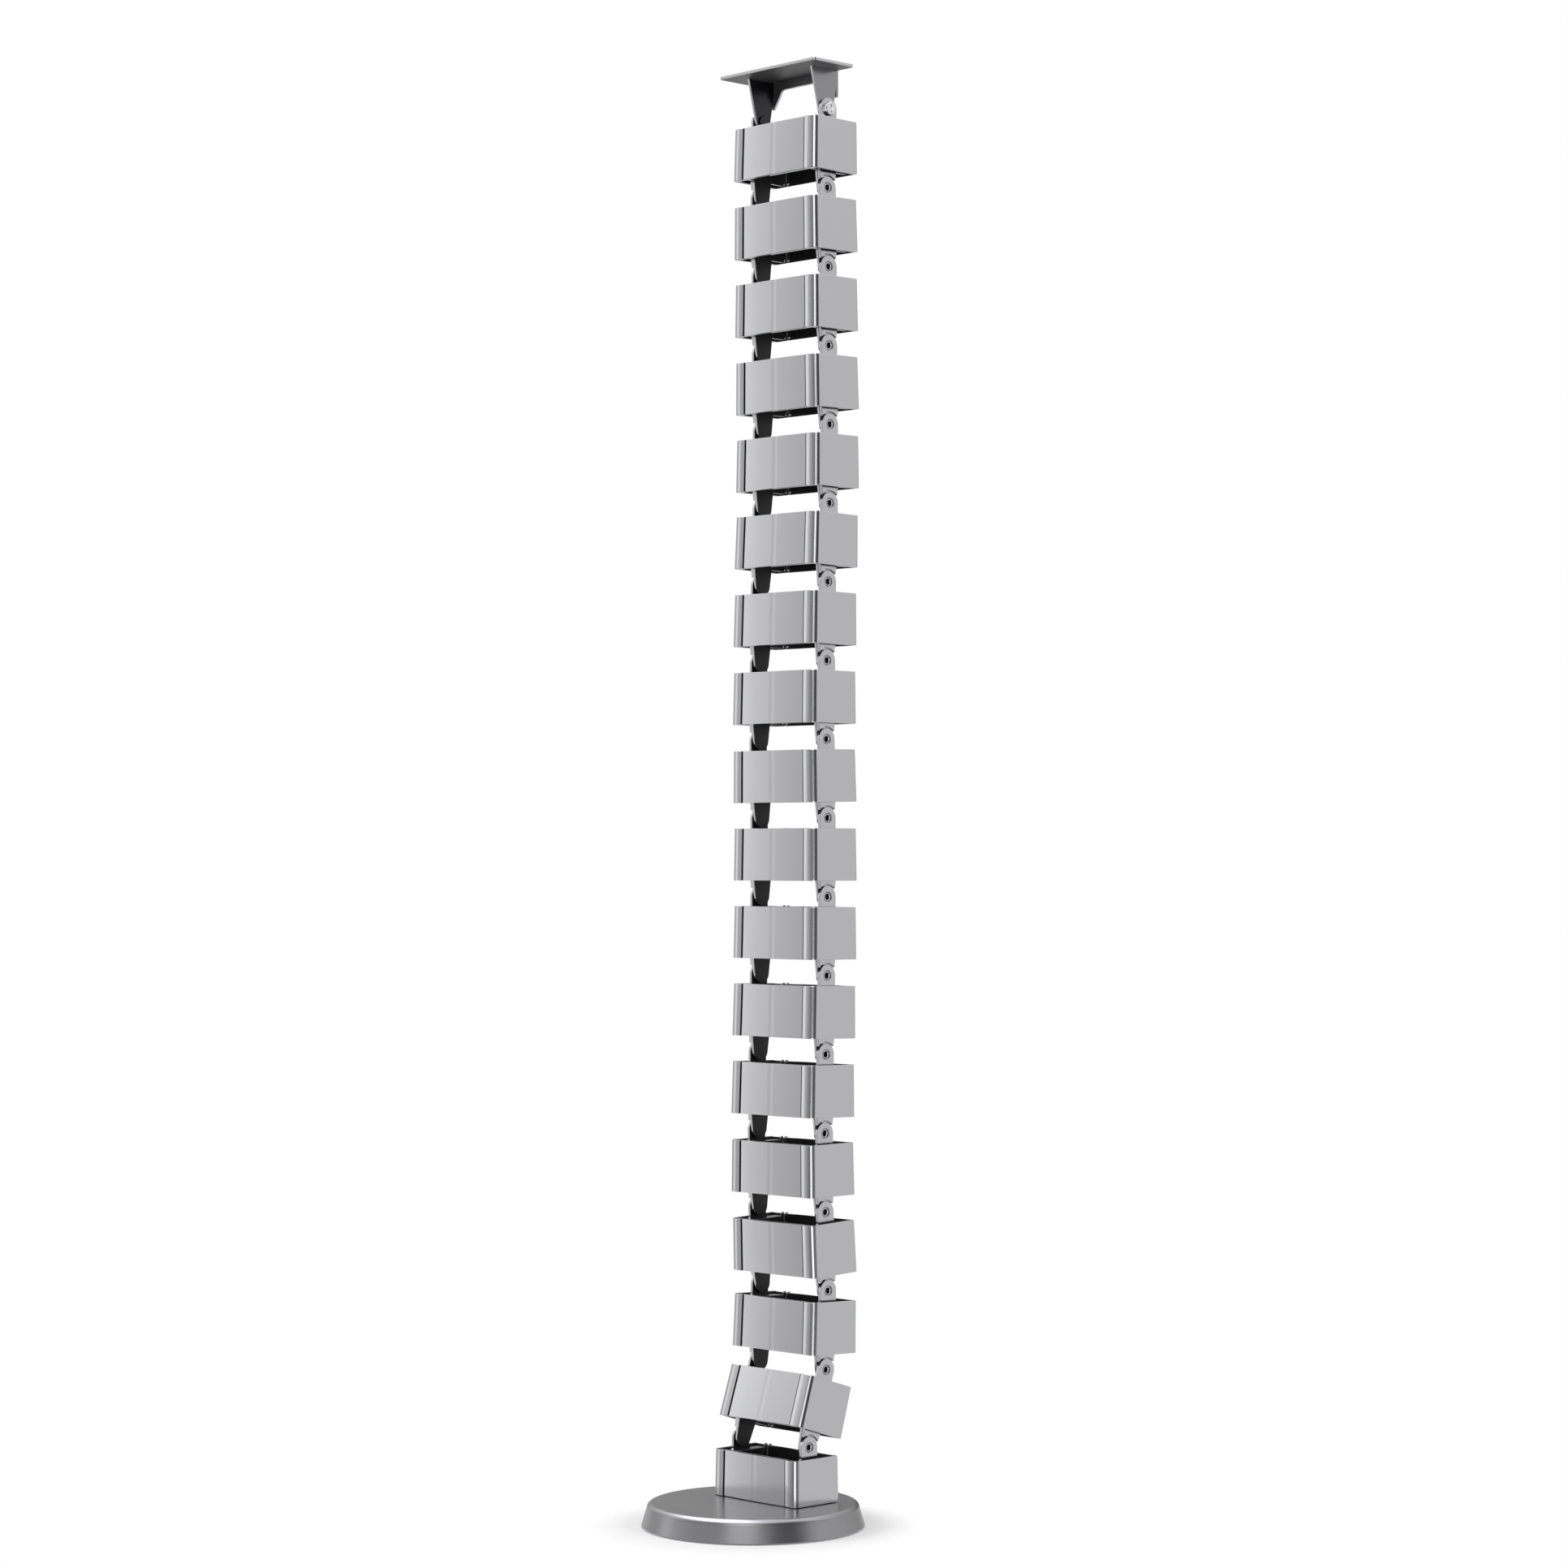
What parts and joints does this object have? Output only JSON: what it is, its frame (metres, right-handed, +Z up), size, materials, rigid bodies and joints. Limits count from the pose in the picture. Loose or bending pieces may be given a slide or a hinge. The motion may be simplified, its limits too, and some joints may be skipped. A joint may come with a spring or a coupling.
{
  "type": "vertical cable spine",
  "caption": "Silver metal cable spine: a chain of hinged open links that hangs from a desk bracket and ends in a weighted round foot, to guide cables down to the floor.",
  "frame": {"origin": "middle of the desk bracket's top face, which meets the underside of the desk", "axes": "+Z up; +X along every hinge axis, to the right seen from the covers' side; -Y is the side of the covers and of the foot's longer overhang"},
  "size_m": [0.1088, 0.1088, 0.7117],
  "materials": {
    "silver": "satin silver lacquer on die-cast metal",
    "cover_silver": "satin silver, a little glossier than the frames",
    "rivet_steel": "bright zinc plate",
    "foot_paint": "semi-gloss silver-grey paint",
    "weight_steel": "plain mill finish, hidden",
    "pad_rubber": "matt black"
  },
  "bodies": {
    "desk_bracket": {"top_bracket": "silver", "top_rivet_left": "rivet_steel", "top_rivet_right": "rivet_steel"},
    "link_01": {"link_01_frame": "silver", "link_01_cover": "cover_silver"},
    "link_02": {"link_02_frame": "silver", "link_02_cover": "cover_silver"},
    "link_03": {"link_03_frame": "silver", "link_03_cover": "cover_silver"},
    "link_04": {"link_04_frame": "silver", "link_04_cover": "cover_silver"},
    "link_05": {"link_05_frame": "silver", "link_05_cover": "cover_silver"},
    "link_06": {"link_06_frame": "silver", "link_06_cover": "cover_silver"},
    "link_07": {"link_07_frame": "silver", "link_07_cover": "cover_silver"},
    "link_08": {"link_08_frame": "silver", "link_08_cover": "cover_silver"},
    "link_09": {"link_09_frame": "silver", "link_09_cover": "cover_silver"},
    "link_10": {"link_10_frame": "silver", "link_10_cover": "cover_silver"},
    "link_11": {"link_11_frame": "silver", "link_11_cover": "cover_silver"},
    "link_12": {"link_12_frame": "silver", "link_12_cover": "cover_silver"},
    "link_13": {"link_13_frame": "silver", "link_13_cover": "cover_silver"},
    "link_14": {"link_14_frame": "silver", "link_14_cover": "cover_silver"},
    "link_15": {"link_15_frame": "silver", "link_15_cover": "cover_silver"},
    "link_16": {"link_16_frame": "silver", "link_16_cover": "cover_silver"},
    "link_17": {"link_17_frame": "silver", "link_17_cover": "cover_silver"},
    "foot": {"base_link_frame": "silver", "base_link_cover": "cover_silver", "base_screw_left": "rivet_steel", "base_screw_right": "rivet_steel", "foot_cover": "foot_paint", "foot_weight": "weight_steel", "foot_pad": "pad_rubber"}
  },
  "joints": [
    {"name": "hinge_01", "type": "hinge", "parent": "desk_bracket", "child": "link_01", "pos_m": [0, 0.0051, -0.0215], "axis": [1, 0, 0], "range_deg": [-17.2, 18.8]},
    {"name": "hinge_02", "type": "hinge", "parent": "link_01", "child": "link_02", "pos_m": [0, 0.00456, -0.0599], "axis": [1, 0, 0], "range_deg": [-19.8, 16.2]},
    {"name": "hinge_03", "type": "hinge", "parent": "link_02", "child": "link_03", "pos_m": [0, 0.00523, -0.09829], "axis": [1, 0, 0], "range_deg": [-17.4, 18.6]},
    {"name": "hinge_04", "type": "hinge", "parent": "link_03", "child": "link_04", "pos_m": [0, 0.0055, -0.13669], "axis": [1, 0, 0], "range_deg": [-18.6, 17.4]},
    {"name": "hinge_05", "type": "hinge", "parent": "link_04", "child": "link_05", "pos_m": [0, 0.00617, -0.17508], "axis": [1, 0, 0], "range_deg": [-16.8, 19.2]},
    {"name": "hinge_06", "type": "hinge", "parent": "link_05", "child": "link_06", "pos_m": [0, 0.00604, -0.21348], "axis": [1, 0, 0], "range_deg": [-16.4, 19.6]},
    {"name": "hinge_07", "type": "hinge", "parent": "link_06", "child": "link_07", "pos_m": [0, 0.00483, -0.25186], "axis": [1, 0, 0], "range_deg": [-18.8, 17.2]},
    {"name": "hinge_08", "type": "hinge", "parent": "link_07", "child": "link_08", "pos_m": [0, 0.00416, -0.29026], "axis": [1, 0, 0], "range_deg": [-18.5, 17.5]},
    {"name": "hinge_09", "type": "hinge", "parent": "link_08", "child": "link_09", "pos_m": [0, 0.00383, -0.32866], "axis": [1, 0, 0], "range_deg": [-19.5, 16.5]},
    {"name": "hinge_10", "type": "hinge", "parent": "link_09", "child": "link_10", "pos_m": [0, 0.0045, -0.36705], "axis": [1, 0, 0], "range_deg": [-17, 19]},
    {"name": "hinge_11", "type": "hinge", "parent": "link_10", "child": "link_11", "pos_m": [0, 0.0045, -0.40545], "axis": [1, 0, 0], "range_deg": [-17.5, 18.5]},
    {"name": "hinge_12", "type": "hinge", "parent": "link_11", "child": "link_12", "pos_m": [0, 0.00416, -0.44385], "axis": [1, 0, 0], "range_deg": [-17.3, 18.7]},
    {"name": "hinge_13", "type": "hinge", "parent": "link_12", "child": "link_13", "pos_m": [0, 0.00336, -0.48224], "axis": [1, 0, 0], "range_deg": [-18.2, 17.8]},
    {"name": "hinge_14", "type": "hinge", "parent": "link_13", "child": "link_14", "pos_m": [0, 0.00269, -0.52064], "axis": [1, 0, 0], "range_deg": [-19.6, 16.4]},
    {"name": "hinge_15", "type": "hinge", "parent": "link_14", "child": "link_15", "pos_m": [0, 0.00309, -0.55903], "axis": [1, 0, 0], "range_deg": [-20, 16]},
    {"name": "hinge_16", "type": "hinge", "parent": "link_15", "child": "link_16", "pos_m": [0, 0.00483, -0.59739], "axis": [1, 0, 0], "range_deg": [-13.4, 22.6]},
    {"name": "hinge_17", "type": "hinge", "parent": "link_16", "child": "link_17", "pos_m": [0, 0.00349, -0.63577], "axis": [1, 0, 0], "range_deg": [-2.5, 33.5]},
    {"name": "hinge_18", "type": "hinge", "parent": "link_17", "child": "foot", "pos_m": [0, -0.00806, -0.67239], "axis": [1, 0, 0], "range_deg": [-35.5, 0.5]}
  ]
}
